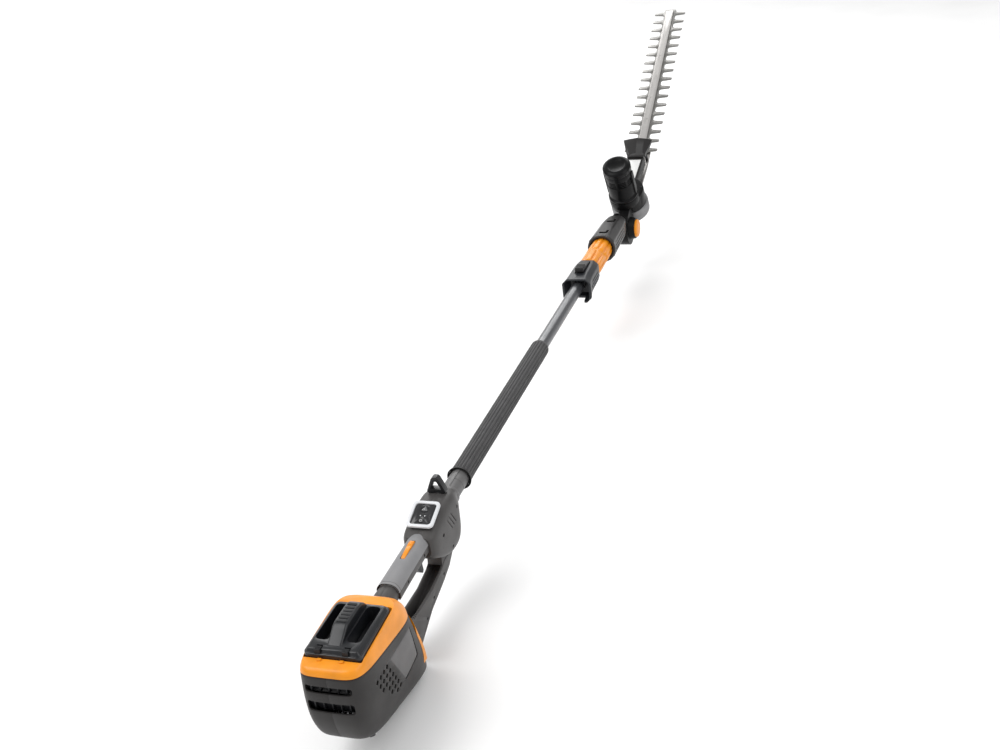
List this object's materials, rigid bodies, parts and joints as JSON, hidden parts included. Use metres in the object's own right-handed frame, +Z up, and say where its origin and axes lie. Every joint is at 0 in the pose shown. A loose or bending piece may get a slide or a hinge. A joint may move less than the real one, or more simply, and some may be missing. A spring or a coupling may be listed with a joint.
{
  "type": "pole hedge trimmer",
  "caption": "Battery pole hedge trimmer: rear battery housing and grip, long tube with foam sleeve, coupling, tilting motor head and double-sided reciprocating blade.",
  "frame": {"origin": "on the tube's axis in the middle of the rear grip, where the hand holds it", "axes": "+Y forward along the tube towards the blade, +X to the user's right, +Z up"},
  "size_m": [0.101, 2.4265, 0.478],
  "materials": {
    "dark_plastic": "fine satin moulding",
    "black_plastic": "satin black moulding",
    "orange_plastic": "semi-gloss orange moulding",
    "grey_rubber": "soft-touch overmould",
    "foam": "ribbed soft foam",
    "graphite_tube": "dark anodised tube",
    "shaft_housing_plastic": "grey glass-filled moulding",
    "light_metal": "die-cast",
    "cell_pack": "cell block",
    "silver_plastic": "silver painted",
    "bright_steel": "ground steel",
    "black_steel": "black oxide",
    "winding_copper": "wound copper in laminations",
    "label_film": "plain printed film",
    "cable_jacket": "cable jacket"
  },
  "bodies": {
    "handle_body": {"rear_housing_left": "dark_plastic", "rear_housing_right": "dark_plastic", "battery_bezel": "orange_plastic", "front_apron": "orange_plastic", "housing_foot": "black_plastic", "terminal_block": "black_plastic", "controller_unit": "light_metal", "grip_core_left": "dark_plastic", "grip_core_right": "dark_plastic", "grip_cover": "grey_rubber", "hand_guard": "dark_plastic", "control_block_left": "dark_plastic", "control_block_right": "dark_plastic", "display_bezel": "silver_plastic", "display_panel": "black_plastic", "harness_loop": "black_plastic", "main_switch": "black_plastic", "trigger_pin": "bright_steel", "trigger_spring": "bright_steel", "wiring_loom": "cable_jacket", "lower_tube": "graphite_tube", "neck_collar": "dark_plastic", "foam_sleeve": "foam", "coupling_socket": "dark_plastic"},
    "battery": {"battery_case": "black_plastic", "battery_cover": "black_plastic", "battery_cells": "cell_pack"},
    "battery_latch": {"battery_latch": "dark_plastic"},
    "trigger": {"trigger": "black_plastic"},
    "lock_out_lever": {"lock_out_lever": "orange_plastic"},
    "power_button": {"power_button": "black_plastic"},
    "speed_button": {"speed_button": "black_plastic"},
    "coupling_latch": {"coupling_latch": "black_plastic"},
    "upper_section": {"upper_tube": "graphite_tube", "shaft_housing": "shaft_housing_plastic", "pivot_cheek": "dark_plastic", "hinge_pin": "bright_steel", "detent_plate": "light_metal"},
    "twist_nut": {"twist_nut": "orange_plastic"},
    "head": {"pivot_knuckle": "black_plastic", "gearbox_upper": "shaft_housing_plastic", "gearbox_lower": "light_metal", "motor_housing": "black_plastic", "motor_cap": "black_plastic", "stator": "winding_copper", "motor_bearing": "bright_steel", "blade_bar": "bright_steel", "blade_bolt_1": "bright_steel", "blade_bolt_2": "bright_steel", "blade_root_plate": "bright_steel", "root_bolt_left": "black_steel", "root_bolt_right": "black_steel", "blade_guard": "dark_plastic", "label_plate": "label_film", "lock_spring": "bright_steel"},
    "head_lock_button": {"head_lock_button": "orange_plastic"},
    "rotor": {"rotor": "light_metal"},
    "crank": {"crank_gear": "light_metal"},
    "upper_blade": {"upper_blade": "bright_steel"},
    "lower_blade": {"lower_blade": "bright_steel"}
  },
  "joints": [
    {"name": "battery_slide", "type": "slide", "parent": "handle_body", "child": "battery", "axis": [0, 0, 1], "range_m": [0, 0.11]},
    {"name": "battery_latch_press", "type": "slide", "parent": "battery", "child": "battery_latch", "axis": [0, 1, 0], "range_m": [0, 0.003], "stiffness_N_per_m": 400},
    {"name": "trigger_pull", "type": "hinge", "parent": "handle_body", "child": "trigger", "pos_m": [0, 0.013, -0.009], "axis": [1, 0, 0], "range_deg": [0, 10], "stiffness_Nm_per_rad": 0.6, "springref_deg": -8.59, "deforming": ["trigger_spring"]},
    {"name": "lock_out_press", "type": "hinge", "parent": "handle_body", "child": "lock_out_lever", "pos_m": [0, 0.008, 0.0105], "axis": [1, 0, 0], "range_deg": [-5, 0], "stiffness_Nm_per_rad": 0.5, "springref_deg": 5.73},
    {"name": "power_button_press", "type": "slide", "parent": "handle_body", "child": "power_button", "axis": [0, 0.2924, -0.9563], "range_m": [0, 0.0012], "stiffness_N_per_m": 400},
    {"name": "speed_button_press", "type": "slide", "parent": "handle_body", "child": "speed_button", "axis": [0, 0.2924, -0.9563], "range_m": [0, 0.0012], "stiffness_N_per_m": 400},
    {"name": "coupling_latch_rock", "type": "hinge", "parent": "handle_body", "child": "coupling_latch", "pos_m": [0, 1.072, 0.0263], "axis": [1, 0, 0], "range_deg": [0, 8], "stiffness_Nm_per_rad": 0.5, "springref_deg": -8.59},
    {"name": "upper_section_pull", "type": "slide", "parent": "handle_body", "child": "upper_section", "axis": [0, 1, 0], "range_m": [0, 0.12]},
    {"name": "twist_nut_turn", "type": "hinge", "parent": "upper_section", "child": "twist_nut", "pos_m": [0, 1.18, 0], "axis": [0, 1, 0], "range_deg": [0, 120]},
    {"name": "head_tilt", "type": "hinge", "parent": "upper_section", "child": "head", "pos_m": [0, 1.44, -0.03], "axis": [1, 0, 0], "range_deg": [-90, 30]},
    {"name": "head_lock_press", "type": "slide", "parent": "head", "child": "head_lock_button", "axis": [-1, 0, 0], "range_m": [0, 0.003], "stiffness_N_per_m": 900},
    {"name": "rotor_spin", "type": "hinge", "parent": "head", "child": "rotor", "pos_m": [0.004, 1.4445, 0.08452], "axis": [0, -0.454, 0.891], "continuous": true},
    {"name": "crank_spin", "type": "hinge", "parent": "head", "child": "crank", "pos_m": [0.004, 1.50755, 0.02686], "axis": [0, -0.454, 0.891], "continuous": true},
    {"name": "upper_blade_stroke", "type": "slide", "parent": "head", "child": "upper_blade", "axis": [0, 0.891, 0.454], "range_m": [-0.008, 0.008]},
    {"name": "lower_blade_stroke", "type": "slide", "parent": "head", "child": "lower_blade", "axis": [0, 0.891, 0.454], "range_m": [-0.008, 0.008]}
  ],
  "couplings": [
    {"joint": "crank_spin", "follows": "rotor_spin", "ratio": -0.33333},
    {"joint": "lower_blade_stroke", "follows": "upper_blade_stroke", "ratio": -1}
  ]
}
